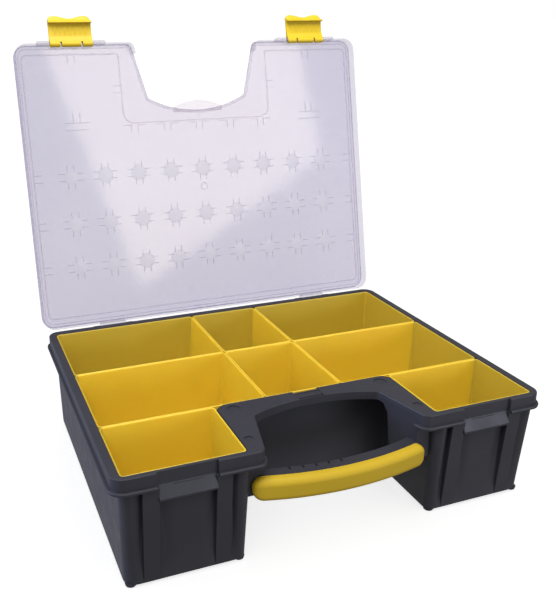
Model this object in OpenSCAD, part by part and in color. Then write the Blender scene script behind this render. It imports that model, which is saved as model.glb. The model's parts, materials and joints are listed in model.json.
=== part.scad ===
// Compartment case for small parts: a deep tray with eight lift-out cups, a hinged clear lid,
// two snap latches and a carrying handle in a recess at the front.
// X runs across the case, Y from the handle (-) to the hinge (+), Z up from the floor.

/* [Cups] */
// Short side of one cup cell
cell_w = 80; // [74:1:84]
// Long side of one cup cell
cell_d = 108; // [104:1:112]
// Clearance left around each cup in its cell
cup_gap = 0.4; // [0.35:0.05:0.6]
// Wall thickness of a cup
cup_wall = 1.5; // [1.2:0.1:2]
// How far each cup side leans in from top to bottom
cup_draft = 3.2; // [2.8:0.1:4]
// Outside corner radius of a cup at its top
cup_corner = 5; // [4:0.5:8]

/* [Tray] */
// Height of the rim above the floor
rim_z = 108; // [95:1:120]
// Height of the feet
foot_h = 2.5; // [2:0.5:4]
// Thickness of the tray walls and bottom
tray_wall = 2; // [1.8:0.1:3]
// How far each tray wall leans in from top to bottom
tray_draft = 2.5; // [2:0.1:2.8]
// Height of the outer rim band
band_h = 16; // [14:1:18]
// Corner radius of the rim band
band_corner = 12; // [10:1:16]

/* [Handle] */
// Outer radius of the yellow grip seen from above
grip_r = 300; // [260:10:340]
// Height of the grip
grip_h = 21.5; // [18:0.5:24]
// Height of the grip's centre above the floor
grip_z = 68.75; // [64:0.25:72]
// Length of the grip from end to end
grip_l = 175; // [170:1:178]

/* [Lid] */
// How far the lid stands open, from closed
lid_open = 103; // [0:1:105]
// Height of the closed lid's lower edge above the floor
lid_edge_z = 97; // [96.8:0.1:97.6]
// Thickness of the lid panel
lid_t = 2; // [1.6:0.1:2.4]
// Space between the rim and the closed lid panel
lid_gap = 1.5; // [1.4:0.1:2]
// Height of the locating ribs under the panel
lid_rib = 0.9; // [0.4:0.1:0.9]

/* [Latches] */
// Latch width
latch_w = 48; // [40:1:48]
// Distance of each latch's centre from the middle of the case
latch_x = 145.5; // [145:0.5:146]
// Latch length from its pivot to the tips of its free edge
latch_l = 31; // [29:0.5:32]
// How far the latches are swung out from the latched position
latch_open = 90; // [0:5:90]

/* [Hinge] */
// Distance of each hinge from the middle of the case
hinge_x = 130; // [100:5:150]
// Radius of the steel hinge pins
pin_r = 1.5; // [1.25:0.05:1.75]

/* [Hidden] */
$fn = 48;
eps = 0.01;

// Cup field: five short cell sides wide, two long sides and one short side deep
field_x = cell_w * 5 / 2;
field_y = (cell_d * 2 + cell_w) / 2;
row_back = field_y - cell_d;
row_front = -field_y + cell_w;
col_x = cell_w / 2;
front_x = field_x - cell_d;

// Tray
floor_z = foot_h + tray_wall + 0.5;
wall_gap = 0.3;
rear_room = 4;
shell_corner = 9;
cell_corner = 3;
block_overlap = 12;
plate_t = 2.5;
band_x = field_x + 8;
band_front = -field_y - 5.5;
band_back = field_y + 9;
flange_out = 2.5;
flange_z = lid_edge_z - 3.5;
flange_h = 3;
foot_r = 5.5;
foot_x = [front_x + 6.5, field_x - 6.5];
foot_front = -field_y + 5;
foot_back = field_y - 4;
pocket_half = 26;
pocket_y = -field_y - 1.7;

// Front of each block: two upright ribs, a sill between them and the latch catch
pillar_in = [107.5, 121];
pillar_out = [170, 184];
pillar_y = -field_y - 7;
pillar_root = -field_y - 1;
pillar_foot = -field_y + 1.2;
sill_y = -field_y - 1.5;
sill_t = 3;
sill_h = 2.5;
sill_end = 6;
catch_y = pillar_y - 0.3;
catch_top_y = -field_y - 2;
catch_z = 82;
catch_h = 14;
catch_lip = 2;

// Channel and round ejector marks in the plate: [x, y, radius]
channel_x = 13;
channel_l = 40;
channel_depth = 0.8;
channel_slot = 3;
MARKS = [[77, -79, 6.5], [84, -131, 4.4]];
mark_depth = 0.4;

// Handle recess, seen from above, with the bow and the grip that cross it
notch_side = 0.254;
notch_x = 59.6;
notch_y = -80;
notch_apex = -82.6;
notch_r = 153;
notch_front = band_front - 20;
open_depth = 15;
lip_h = 8.5;
bow_z = 60.5;
bow_h = 18;
bow_inner_r = 280;
bow_inner_y = -144.5;
bow_inset = 0.9;
bow_back = band_front + 50;
nick_x = -51;
nick_pitch = 12;
nick_turn = 3;
nick_w = 2;
nick_l = 10;
nick_depth = 1.2;
grip_front = -166;
grip_t = 9.5;
grip_gap = 0.1;
grip_round = 8;
grip_end = 9.5;
grip_c = grip_front + grip_r;

// Walls between the plate and the ends of the bow
cheek_t = 2.5;
cheek_front = -141;
cheek_foot = -111;
cheek_back = -104;

// Cups
cup_top = rim_z - 0.4;
cup_z = floor_z + 0.4;

// Lid, drawn closed and then swung about the hinge
lid_x = band_x + 2.2;
lid_front = band_front - 2.4;
lid_back = band_back + 3.5;
lid_wall = 1.8;
lid_corner = 14;
panel_z = rim_z + lid_gap;
rib_z = panel_z - lid_rib;
lid_notch_x = 56.5;
lid_notch_apex = -80;
lid_notch_r = 125;
skirt_gap = 75;
tab_r = 71;
tab_x = 31;
tab_apex = lid_notch_apex - 11;
tab_step = 0.5;
edge_x = front_x - 0.4;
edge_y = row_front + 0.6;
edge_corner = 12;
edge_front = 10;
star_pitch_y = 53.5;
star_y0 = -10.5;
star_r = 10.3;
star_reach = 14;
star_pair = 7.8;
rib_t = 1;

// Hinge line
hinge_y = lid_back + 5.5;
hinge_z = lid_edge_z + 3.5;
knuckle_r = 3.5;
knuckle_w = 30;
knuckle_root = 9;
lug_w = 8;
lug_foot_z = 82;
hinge_side_gap = 0.5;
pin_fit = 0.02;
pin_play = 0.06;

// Latch pivot on the closed lid
pivot_y = lid_front - 1.6;
pivot_z = lid_edge_z + 6.5;
bar_r = 1.6;
bar_play = 0.1;
barrel_r = 3.2;
ear_gap = 1;
ear_r = 4;
ear_w = 13.5;
hook_z = 22.4;
hook_t = 3.4;
latch_corner = 5;
scoop_r = 46;
scoop = 2.8;
slot_x = 11.8;
slot_w = 2;
slot_h = 2.4;
rib_pitch = 8;
latch_rib_w = 3;
latch_rib_t = 0.9;

// Rear row, middle row and front row: [name, low corner, high corner]
CUPS = [
    ["cup_back_left", [-field_x, row_back], [-col_x, field_y]],
    ["cup_back_centre", [-col_x, row_back], [col_x, field_y]],
    ["cup_back_right", [col_x, row_back], [field_x, field_y]],
    ["cup_middle_left", [-field_x, row_front], [-col_x, row_back]],
    ["cup_middle_centre", [-col_x, row_front], [col_x, row_back]],
    ["cup_middle_right", [col_x, row_front], [field_x, row_back]],
    ["cup_front_left", [-field_x, -field_y], [-front_x, row_front]],
    ["cup_front_right", [front_x, -field_y], [field_x, row_front]],
];

// ---- shared shapes ----

// Rectangle from corner to corner with round corners
module round_rect(lo, hi, r) {
    translate([lo.x + r, lo.y]) square([hi.x - lo.x - 2 * r, hi.y - lo.y]);
    translate([lo.x, lo.y + r]) square([hi.x - lo.x, hi.y - lo.y - 2 * r]);
    for (x = [lo.x + r, hi.x - r], y = [lo.y + r, hi.y - r])
        translate([x, y]) circle(r);
}

// Block whose sides lean in by draft from its top to its bottom
module drafted(lo, hi, r, z0, z1, draft) {
    hull() {
        translate([0, 0, z1 - eps]) linear_extrude(eps) round_rect(lo, hi, r, $fn = 32);
        translate([0, 0, z0]) linear_extrude(eps)
            round_rect(lo + [draft, draft], hi - [draft, draft], r, $fn = 32);
    }
}

// Outline in the YZ plane, run along X between two places
module along_x(x0, x1) {
    translate([x0, 0, 0]) rotate([90, 0, 90]) linear_extrude(x1 - x0) children();
}

module both_sides() {
    children();
    mirror([1, 0, 0]) children();
}

// Plan of everything in front of a given y
module in_front_of(y) {
    translate([-lid_x, y - field_y]) square([2 * lid_x, field_y]);
}

// Half width of the handle recess at a given y
function notch_half(y) = notch_x + (notch_y - y) * notch_side;

// Opening for a hand: sides that widen to the front and an arc at the back
module hand_notch(grow, half_x, apex_y, r) {
    back_x = half_x + grow;
    front_half = back_x + (notch_y + grow - notch_front) * notch_side;
    intersection() {
        translate([0, apex_y - r]) circle(r + grow, $fn = 160);
        polygon([
            [-back_x, notch_y + grow], [back_x, notch_y + grow],
            [front_half, notch_front], [-front_half, notch_front],
        ]);
    }
}

// ---- cups ----

module cup(lo, hi) {
    gap = [cup_gap, cup_gap];
    wall = [cup_wall, cup_wall];
    lean = cup_draft * (cup_top - cup_z - cup_wall) / (cup_top - cup_z);
    color("#e0b428") difference() {
        drafted(lo + gap, hi - gap, cup_corner, cup_z, cup_top, cup_draft);
        drafted(lo + gap + wall, hi - gap - wall, cup_corner - cup_wall,
            cup_z + cup_wall, cup_top + 2 * eps, lean);
    }
}

module named_cup(name) {
    for (c = CUPS) if (c[0] == name) cup(c[1], c[2]);
}

// ---- tray ----

// Plan of the eight cells, which the rim leaves open
module cup_field() {
    round_rect([-field_x, row_front], [field_x, field_y], cell_corner);
    both_sides()
        round_rect([front_x, -field_y], [field_x, row_front + 2 * cell_corner], cell_corner);
}

// Plan of the space inside the band
module band_inside() {
    round_rect([-field_x - 1, -field_y - 1], [field_x + 1, field_y + 1 + rear_room], cell_corner);
}

module rim_outline(out) {
    round_rect([-band_x - out, band_front - out], [band_x + out, band_back + out],
        band_corner + out);
}

// Walls and bottom: a wide rear part and a block on each side of the recess
module tray_shell() {
    in = wall_gap;
    out = wall_gap + tray_wall;
    lean = tray_draft * (rim_z - floor_z) / (rim_z - foot_h);
    difference() {
        union() {
            drafted([-field_x - out, row_front - out], [field_x + out, field_y + out + rear_room],
                shell_corner, foot_h, rim_z, tray_draft);
            both_sides() drafted([front_x - out, -field_y - out],
                [field_x + out, row_front + block_overlap],
                shell_corner, foot_h, rim_z, tray_draft);
        }
        drafted([-field_x - in, row_front - in], [field_x + in, field_y + in + rear_room],
            shell_corner - tray_wall, floor_z, rim_z + eps, lean);
        both_sides() drafted([front_x - in, -field_y - in],
            [field_x + in, row_front + block_overlap],
            shell_corner - tray_wall, floor_z, rim_z + eps, lean);
    }
}

// Flat rim and plate, with the band and flange that hang from their edge
module tray_rim() {
    arm_x = notch_half(band_front);
    difference() {
        union() {
            translate([0, 0, rim_z - plate_t]) linear_extrude(plate_t) difference() {
                rim_outline(0);
                cup_field();
            }
            translate([0, 0, rim_z - band_h]) linear_extrude(band_h - plate_t + eps) difference() {
                rim_outline(0);
                band_inside();
            }
            translate([0, 0, flange_z]) linear_extrude(flange_h) difference() {
                rim_outline(flange_out);
                band_inside();
            }
            translate([0, 0, rim_z - lip_h]) linear_extrude(lip_h) difference() {
                hand_notch(tray_wall, notch_x, notch_apex, notch_r);
                in_front_of(-field_y);
            }
        }
        translate([0, 0, rim_z - band_h - 1]) linear_extrude(band_h + 2)
            hand_notch(0, notch_x, notch_apex, notch_r);
        translate([-arm_x, band_front - 5, rim_z - band_h - 1])
            cube([2 * arm_x, open_depth + 5, band_h + 2]);
        both_sides() latch_pocket();
        plate_marks();
    }
}

// The rim is cut back to the wall where a latch hangs
module latch_pocket() {
    front = band_front - flange_out - 1;
    translate([latch_x - pocket_half, front, rim_z - band_h - 1])
        cube([2 * pocket_half, pocket_y - front, band_h + 2]);
}

// Shallow channel and round ejector marks in the plate
module plate_marks() {
    translate([-channel_x, row_front - channel_l, rim_z - channel_depth])
        cube([2 * channel_x, channel_l + 1, channel_depth + 1]);
    translate([-channel_x, row_front - channel_slot, rim_z - plate_t - 1])
        cube([2 * channel_x, channel_slot + 1, plate_t + 2]);
    both_sides() for (m = MARKS)
        translate([m[0], m[1], rim_z - mark_depth]) cylinder(r = m[2], h = 1);
}

// Upright ribs, sill and latch catch on the front of the right block
module block_front() {
    for (p = [pillar_in, pillar_out])
        along_x(p[0], p[1]) polygon([
            [pillar_foot, foot_h], [sill_y, foot_h], [pillar_y, rim_z - band_h],
            [pillar_y, flange_z + eps], [pillar_root, flange_z + eps],
        ]);
    translate([front_x + sill_end, sill_y, foot_h])
        cube([field_x - front_x - 2 * sill_end, sill_t, sill_h]);
    along_x(pillar_in[1] - eps, pillar_out[0] + eps) polygon([
        [pillar_root, catch_z], [catch_y, catch_z], [catch_y, catch_z + catch_lip],
        [catch_top_y, catch_z + catch_h], [pillar_root, catch_z + catch_h],
    ]);
}

// Small feet near the corners of the blocks and the rear wall, and one in the middle
module feet() {
    cylinder(r = foot_r, h = foot_h + 1);
    both_sides()
        for (p = [[foot_x[0], foot_front], [foot_x[1], foot_front], [foot_x[1], foot_back]])
            translate([p.x, p.y, 0]) cylinder(r = foot_r, h = foot_h + 1);
}

// Curved bar that joins the two blocks, with four nicks in its top edge
module handle_bow() {
    half = front_x - bow_inset;
    difference() {
        translate([0, 0, bow_z]) linear_extrude(bow_h) difference() {
            intersection() {
                translate([0, grip_c]) circle(grip_r - grip_t - grip_gap, $fn = 240);
                translate([-half, notch_front]) square([2 * half, bow_back - notch_front]);
            }
            translate([0, bow_inner_y + bow_inner_r]) circle(bow_inner_r, $fn = 160);
        }
        for (i = [0:3])
            translate([nick_x + i * nick_pitch, bow_inner_y + 1, bow_z + bow_h - nick_depth])
                rotate([0, 0, (3 - i) * nick_turn])
                    translate([-nick_w / 2, -nick_l / 2, 0]) cube([nick_w, nick_l, nick_depth + 1]);
    }
}

// Walls that drop from the plate to the ends of the bow
module cheeks() {
    x0 = notch_half(cheek_front);
    x1 = notch_half(cheek_back);
    both_sides() intersection() {
        translate([0, 0, bow_z]) linear_extrude(rim_z - plate_t - bow_z + 0.5) polygon([
            [x0, cheek_front], [x0 + cheek_t, cheek_front],
            [x1 + cheek_t, cheek_back], [x1, cheek_back],
        ]);
        along_x(0, front_x) polygon([
            [cheek_front - 1, bow_z], [cheek_foot, bow_z], [cheek_foot, bow_z + bow_h],
            [cheek_back, rim_z - lip_h], [cheek_back, rim_z], [cheek_front - 1, rim_z],
        ]);
    }
}

// Pin lugs behind the rear wall, one on each side of each lid knuckle
module hinge_lugs() {
    lug_in = knuckle_w / 2 + hinge_side_gap;
    both_sides() for (s = [-1, 1]) {
        c = hinge_x + s * (lug_in + lug_w / 2);
        difference() {
            along_x(c - lug_w / 2, c + lug_w / 2) {
                translate([hinge_y, hinge_z]) circle(knuckle_r);
                polygon([
                    [band_back - 3, lug_foot_z], [band_back - 3, flange_z + flange_h],
                    [hinge_y, flange_z + flange_h], [hinge_y + knuckle_r, hinge_z],
                    [hinge_y + knuckle_r, hinge_z - 3], [band_back + 2, lug_foot_z],
                ]);
            }
            along_x(c - lug_w, c + lug_w)
                translate([hinge_y, hinge_z]) circle(pin_r + pin_fit);
        }
    }
}

module base_tray() {
    color("#3a3c48") {
        tray_shell();
        tray_rim();
        both_sides() block_front();
        feet();
        handle_bow();
        cheeks();
        hinge_lugs();
    }
}

// ---- grip and pins ----

// Half-round bar on the front of the bow, with domed ends
module handle_grip() {
    color("#dcb02c") intersection() {
        translate([0, grip_c, grip_z]) rotate([0, 0, -110]) rotate_extrude(angle = 40, $fn = 240)
            intersection() {
                translate([grip_r - grip_t, -grip_h / 2]) square([grip_t, grip_h]);
                round_rect([grip_r - 3 * grip_t, -grip_h / 2], [grip_r, grip_h / 2], grip_round);
            }
        translate([0, 0, grip_z]) rotate([90, 0, 0]) linear_extrude(200)
            round_rect([-grip_l / 2, -grip_h / 2], [grip_l / 2, grip_h / 2], grip_end);
    }
}

module hinge_pin(side) {
    half = knuckle_w / 2 + hinge_side_gap + lug_w;
    color("silver") translate([side * hinge_x - half, hinge_y, hinge_z])
        rotate([0, 90, 0]) cylinder(r = pin_r, h = 2 * half);
}

// ---- lid ----

// Swings what is drawn on the closed lid to the open position
module on_lid() {
    translate([0, hinge_y, hinge_z]) rotate([-lid_open, 0, 0])
        translate([0, -hinge_y, -hinge_z]) children();
}

module lid_outline(inset) {
    round_rect([-lid_x + inset, lid_front + inset], [lid_x - inset, lid_back - inset],
        lid_corner - inset);
}

module lid_notch(grow) {
    hand_notch(grow, lid_notch_x, lid_notch_apex, lid_notch_r);
}

// Disc with a pair of ribs crossing it each way, which straddle the cup walls
module star() {
    circle(star_r);
    for (a = [0, 90], s = [-1, 1])
        rotate(a) translate([0, s * star_pair / 2]) square([2 * star_reach, rib_t], center = true);
}

// Flat panel with the hand opening and a thin thumb tab at the opening's edge
module lid_panel() {
    translate([0, 0, panel_z]) linear_extrude(lid_t) difference() {
        lid_outline(0);
        lid_notch(0);
    }
    translate([0, 0, panel_z + tab_step]) linear_extrude(lid_t - tab_step) intersection() {
        translate([0, tab_apex + tab_r]) circle(tab_r, $fn = 120);
        translate([-tab_x, tab_apex - 1]) square([2 * tab_x, 16]);
    }
}

// Rim that hangs from the panel, left out at the recess and at the latches
module lid_skirt() {
    translate([0, 0, lid_edge_z]) linear_extrude(panel_z - lid_edge_z + eps) difference() {
        lid_outline(0);
        lid_outline(lid_wall);
        translate([-skirt_gap, lid_front - 1]) square([2 * skirt_gap, 10]);
        both_sides() translate([latch_x - latch_w / 2 - ear_gap, lid_front - 1])
            square([latch_w + 2 * ear_gap, 10]);
    }
}

// Low ribs under the panel: round the notch, along the plate's edge, and the stars
module lid_ribs() {
    low = [-edge_x, lid_front - edge_corner];
    translate([0, 0, rib_z]) linear_extrude(lid_rib + eps) {
        difference() {
            lid_notch(rib_t * 1.6);
            lid_notch(0);
            in_front_of(lid_front + 1);
        }
        difference() {
            round_rect(low, [edge_x, edge_y], edge_corner);
            round_rect(low + [rib_t, 0], [edge_x - rib_t, edge_y - rib_t], edge_corner - rib_t);
            in_front_of(lid_front + edge_front);
        }
        for (i = [-4:4], j = [0:2])
            translate([i * col_x, star_y0 + j * star_pitch_y]) star();
    }
}

// Barrels on the lid's rear edge that turn on the hinge pins
module lid_knuckles() {
    both_sides() difference() {
        along_x(hinge_x - knuckle_w / 2, hinge_x + knuckle_w / 2) {
            translate([hinge_y, hinge_z]) circle(knuckle_r);
            polygon([
                [lid_back - 1, lid_edge_z + 0.4], [lid_back - 1, lid_edge_z + knuckle_root],
                [hinge_y, hinge_z + knuckle_r], [hinge_y, hinge_z - 3.1],
            ]);
        }
        along_x(hinge_x - knuckle_w, hinge_x + knuckle_w)
            translate([hinge_y, hinge_z]) circle(pin_r + pin_play);
    }
}

// Ears on the front edge that carry a round bar for each latch
module latch_ears() {
    half = latch_w / 2 + ear_gap;
    both_sides() {
        for (x = [latch_x - half - ear_w, latch_x + half])
            along_x(x, x + ear_w) {
                translate([pivot_y, pivot_z]) circle(ear_r);
                translate([pivot_y, pivot_z - ear_r])
                    square([lid_front - pivot_y + 1, panel_z + lid_t - pivot_z + ear_r]);
                translate([pivot_y - ear_r, pivot_z])
                    square([ear_r + 1, panel_z + lid_t - pivot_z - 1.5]);
            }
        along_x(latch_x - half - 1, latch_x + half + 1)
            translate([pivot_y, pivot_z]) circle(bar_r);
    }
}

module lid() {
    color("#d9d7e6", 0.45) on_lid() {
        lid_panel();
        lid_skirt();
        lid_ribs();
        lid_knuckles();
        latch_ears();
    }
}

// ---- latches ----

// Section of a latch in the latched position, with its pivot at the origin
module latch_section() {
    circle(barrel_r);
    polygon([
        [-barrel_r, 0], [-barrel_r, -hook_z - 2], [-barrel_r - 1.8, -latch_l],
        [-barrel_r + 0.2, -latch_l], [-0.8, -hook_z - hook_t], [3.2, -hook_z - 1.8],
        [4.6, -hook_z], [-0.8, -hook_z], [-0.8, 0],
    ]);
}

// Latch plate with a scooped free edge, two slots and five shallow ribs on its inner face
module latch_body() {
    difference() {
        intersection() {
            along_x(-latch_w / 2, latch_w / 2) latch_section();
            translate([0, 20, 0]) rotate([90, 0, 0]) linear_extrude(40) difference() {
                round_rect([-latch_w / 2, -latch_l], [latch_w / 2, 10], latch_corner);
                translate([0, -latch_l - scoop_r + scoop]) circle(scoop_r, $fn = 120);
            }
        }
        along_x(-latch_w, latch_w) circle(bar_r + bar_play);
        along_x(-latch_w, latch_w) translate([0, -bar_r * 0.8]) square([10, bar_r * 1.6]);
        both_sides()
            translate([slot_x - slot_w / 2, -10, -barrel_r - slot_h]) cube([slot_w, 20, 10]);
    }
    for (i = [-2:2])
        translate([i * rib_pitch - latch_rib_w / 2, -1.2, -hook_z + 3])
            cube([latch_rib_w, latch_rib_t, hook_z - 8]);
}

module latch(side) {
    color("#e2b82a") on_lid()
        translate([side * latch_x, pivot_y, pivot_z]) rotate([-latch_open, 0, 0]) latch_body();
}

base_tray();
handle_grip();
hinge_pin(-1);  // hinge_pin_left
hinge_pin(1);  // hinge_pin_right
lid();
latch(-1);  // latch_left
latch(1);  // latch_right
named_cup("cup_back_left");  // cup_back_left
named_cup("cup_back_centre");  // cup_back_centre
named_cup("cup_back_right");  // cup_back_right
named_cup("cup_middle_left");  // cup_middle_left
named_cup("cup_middle_centre");  // cup_middle_centre
named_cup("cup_middle_right");  // cup_middle_right
named_cup("cup_front_left");  // cup_front_left
named_cup("cup_front_right");  // cup_front_right
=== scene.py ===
import json
import math

import bmesh
import bpy
from mathutils import Matrix, Vector


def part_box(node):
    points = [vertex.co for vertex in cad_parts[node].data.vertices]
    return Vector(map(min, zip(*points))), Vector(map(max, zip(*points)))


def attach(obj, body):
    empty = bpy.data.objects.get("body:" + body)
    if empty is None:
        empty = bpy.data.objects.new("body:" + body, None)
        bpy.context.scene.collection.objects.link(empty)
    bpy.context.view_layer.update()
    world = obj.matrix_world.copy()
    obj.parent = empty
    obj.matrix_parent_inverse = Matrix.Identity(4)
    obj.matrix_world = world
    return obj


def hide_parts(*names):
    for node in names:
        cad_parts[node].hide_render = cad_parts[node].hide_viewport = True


# Parts organizer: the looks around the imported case. Lengths are in millimetres until a mesh is
# made, and the lid and latches are shaped closed, then swung open as the case stands at rest.
# The field is the area the cups fill, and the blocks are the tray's two front parts, either side
# of the hand opening. The band is the tray's upright edge and the flange is the ledge below it.

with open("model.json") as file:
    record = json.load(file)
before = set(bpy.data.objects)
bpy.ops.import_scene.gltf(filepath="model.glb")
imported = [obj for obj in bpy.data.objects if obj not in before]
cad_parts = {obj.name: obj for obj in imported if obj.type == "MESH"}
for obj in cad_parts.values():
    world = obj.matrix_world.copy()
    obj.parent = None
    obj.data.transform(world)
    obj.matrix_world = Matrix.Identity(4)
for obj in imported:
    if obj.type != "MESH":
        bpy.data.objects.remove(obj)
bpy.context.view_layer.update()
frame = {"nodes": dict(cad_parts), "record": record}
MM = 0.001


def span(node):
    low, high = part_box(node)
    return low / MM, high / MM


def joint(name):
    return next(j for j in frame["record"]["behaviour"]["joints"] if j["name"] == name)


# ---- places, from the frame ----

tray_high = span("base_tray")[1]
grip_low, grip_high = span("handle_grip")
CUPS = [n for n in sorted(frame["nodes"]) if n.startswith("cup_")]
cup_boxes = {name: span(name) for name in CUPS}
CUP_GAP = 0.4
FIELD_X = max(high.x for low, high in cup_boxes.values()) + CUP_GAP
FIELD_Y = max(high.y for low, high in cup_boxes.values()) + CUP_GAP
BLOCK_X = cup_boxes["cup_front_right"][0].x - CUP_GAP
ROW_Y = cup_boxes["cup_front_right"][1].y + CUP_GAP
RIM_Z = tray_high.z
FOOT_H = 2.5
FLANGE_OUT = 2.5
BAND_X = tray_high.x - FLANGE_OUT
BAND_FRONT = -FIELD_Y - 5.5
BAND_BACK = FIELD_Y + 9
BAND_H = 16
FLANGE_Z = RIM_Z - 14.5
LIP_H = 8.5
DRAFT = 2.5
NOTCH_SLOPE = 0.254
NOTCH_CORNER = Vector((63.8, -96.5))
NOTCH_APEX = -82.6
NOTCH_SIDE = NOTCH_CORNER.x + (NOTCH_CORNER.y - BAND_FRONT) * NOTCH_SLOPE
SHELL_OUT = 2.3
SHELL_T = 2.0
SHELL_TOP = FLANGE_Z + 1
CORNER_R = 12
ARM_R = 7
LATCH_X = 145.5
POCKET = (119.5, 171.5)
POCKET_Y = -FIELD_Y - 2.6
PILLARS = ((107.5, 121.0), (170.0, 184.0))
PILLAR_STEP = 0.4
CATCH_Z = 82
GRIP_R = 300
GRIP_DEPTH = 9.5
BOW_LOW = 60.5
BOW_HIGH = 78.5
BOW_INNER_R = 280
BOW_INNER_Y = -144.5

hinge = joint("lid_hinge")
HINGE = Vector(hinge["pos_m"]) / MM
HINGE_X = 130
LUG_R = 3.4
PIN_HOLE_R = 1.52
LID_SWING = math.radians(-hinge["range_deg"][0])
LID_X = BAND_X + 2.2
LID_FRONT = BAND_FRONT - 4.4
LID_BACK = BAND_BACK + 3.5
LID_EDGE = RIM_Z - 11
PANEL_Z = RIM_Z + 1.5
LID_T = 2.0
LID_TOP = PANEL_Z + LID_T
LID_CORNER_R = 14
LID_NOTCH_X = 60.5
LID_NOTCH_Y = -95.6
LID_ARM_X = LID_NOTCH_X + (LID_NOTCH_Y - LID_FRONT) * NOTCH_SLOPE
LID_ARM_R = 7
RIB_Z = PANEL_Z - 0.9
RIB_PAIR = 4
STAR_PITCH = 40
STAR_ROWS = (-10.5, 43.5, 94.0)
STAR_R = 9.6
PIVOT_Y = BAND_FRONT - 4.0
PIVOT_Z = LID_EDGE + 6.5
LATCH_W = 48
LATCH_L = 31
LATCH_HOOK = 22.4
LATCH_HALF = LATCH_W / 2 + 1
LATCH_SWING = math.radians(-joint("latch_left_hinge")["range_deg"][0])


# ---- outlines ----

def smooth(a, b, x):
    t = min(max((x - a) / (b - a), 0.0), 1.0)
    return t * t * (3 - 2 * t)


def arc(centre, radius, start, end, steps):
    turns = [start + (end - start) * k / steps for k in range(steps + 1)]
    return [(centre[0] + radius * math.cos(t), centre[1] + radius * math.sin(t)) for t in turns]


def circle(centre, radius, steps):
    return arc(centre, radius, 0, math.tau * (steps - 1) / steps, steps - 1)


def fillet(corners, steps=6):
    """The closed outline through corners (x, y, radius), each rounded by its radius."""
    out = []
    for i, (x, y, radius) in enumerate(corners):
        if radius <= 0:
            out.append((x, y))
            continue
        corner = Vector((x, y))
        back = (Vector(corners[i - 1][:2]) - corner).normalized()
        ahead = (Vector(corners[(i + 1) % len(corners)][:2]) - corner).normalized()
        half = back.angle(ahead) / 2
        centre = corner + (back + ahead).normalized() * radius / math.sin(half)
        first = corner + back * radius / math.tan(half) - centre
        last = corner + ahead * radius / math.tan(half) - centre
        start = math.atan2(first.y, first.x)
        turn = (math.atan2(last.y, last.x) - start + math.pi) % math.tau - math.pi
        out += arc(centre, radius, start, start + turn, steps)
    return out


def rounded_box(low, high, radius, steps=6):
    return fillet([(low[0], low[1], radius), (high[0], low[1], radius),
                   (high[0], high[1], radius), (low[0], high[1], radius)], steps)


def outward(path, closed=True):
    """Mitred normals to the right of a path, which is outward on a counter-clockwise outline."""
    sides = []
    count = len(path)
    for i in range(count):
        here = Vector(path[i])
        before = Vector(path[i - 1]) if closed or i else None
        after = Vector(path[(i + 1) % count]) if closed or i < count - 1 else None
        edges = [e.normalized() for e in (before and here - before, after and after - here) if e]
        normals = [Vector((e.y, -e.x)) for e in edges]
        if len(normals) == 1:
            sides.append(normals[0])
        else:
            sides.append((normals[0] + normals[1]) / (1 + normals[0].dot(normals[1])))
    return sides


def grow(path, amount):
    return [(p[0] + n.x * amount, p[1] + n.y * amount) for p, n in zip(path, outward(path))]


# ---- solids, each a (points, faces) pair ----

def loft(rings, closed=False):
    """Skin over rings of equal length. The first and last are capped, or joined when closed."""
    count = len(rings[0])
    points = [p for ring in rings for p in ring]
    faces = []
    spans = len(rings) if closed else len(rings) - 1
    for r in range(spans):
        a, b = r * count, (r + 1) % len(rings) * count
        faces += [(a + i, a + (i + 1) % count, b + (i + 1) % count, b + i) for i in range(count)]
    if not closed:
        faces.append(tuple(range(count - 1, -1, -1)))
        faces.append(tuple(range(len(points) - count, len(points))))
    return points, faces


def sweep(path, section, closed=True):
    """A section, a function from a path point to a list of (out, z), run along a path."""
    rings = []
    for p, n in zip(path, outward(path, closed)):
        rings.append([(p[0] + n.x * out, p[1] + n.y * out, z) for out, z in section(p)])
    return loft(rings, closed)


def slab(outlines, z0, z1, edge=0.4, rings=2):
    """Plate with round edges. The first outline is its rim and the others are holes in it."""
    curve = bpy.data.curves.new("slab", "CURVE")
    curve.dimensions = "2D"
    curve.fill_mode = "BOTH"
    curve.extrude = (z1 - z0) / 2 - edge
    curve.bevel_depth = edge
    curve.bevel_resolution = rings
    curve.offset = -edge
    for outline in outlines:
        spline = curve.splines.new("POLY")
        spline.points.add(len(outline) - 1)
        for point, (x, y) in zip(spline.points, outline):
            point.co = (x, y, 0, 1)
        spline.use_cyclic_u = True
    holder = bpy.data.objects.new("slab", curve)
    mesh = bpy.data.meshes.new_from_object(holder)
    points = [(v.co.x, v.co.y, v.co.z + (z0 + z1) / 2) for v in mesh.vertices]
    faces = [tuple(p.vertices) for p in mesh.polygons]
    bpy.data.objects.remove(holder)
    bpy.data.curves.remove(curve)
    bpy.data.meshes.remove(mesh)
    return points, faces


def lathe(profile, centre, steps=32):
    """Revolves (radius, z) points, from the axis back to the axis, about a vertical line."""
    rings = []
    for k in range(steps):
        t = math.tau * k / steps
        rings.append([(centre[0] + r * math.cos(t), centre[1] + r * math.sin(t), z) for r, z in profile])
    return loft(rings, closed=True)


def mirrored(solid):
    return [(-x, y, z) for x, y, z in solid[0]], [tuple(reversed(f)) for f in solid[1]]


def both_sides(solid):
    return [solid, mirrored(solid)]


def across(solid, x0=0.0):
    """Turns a slab drawn as (y, z) outlines, with its height along X."""
    return [(x0 + z, x, y) for x, y, z in solid[0]], solid[1]


# ---- objects ----

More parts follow.
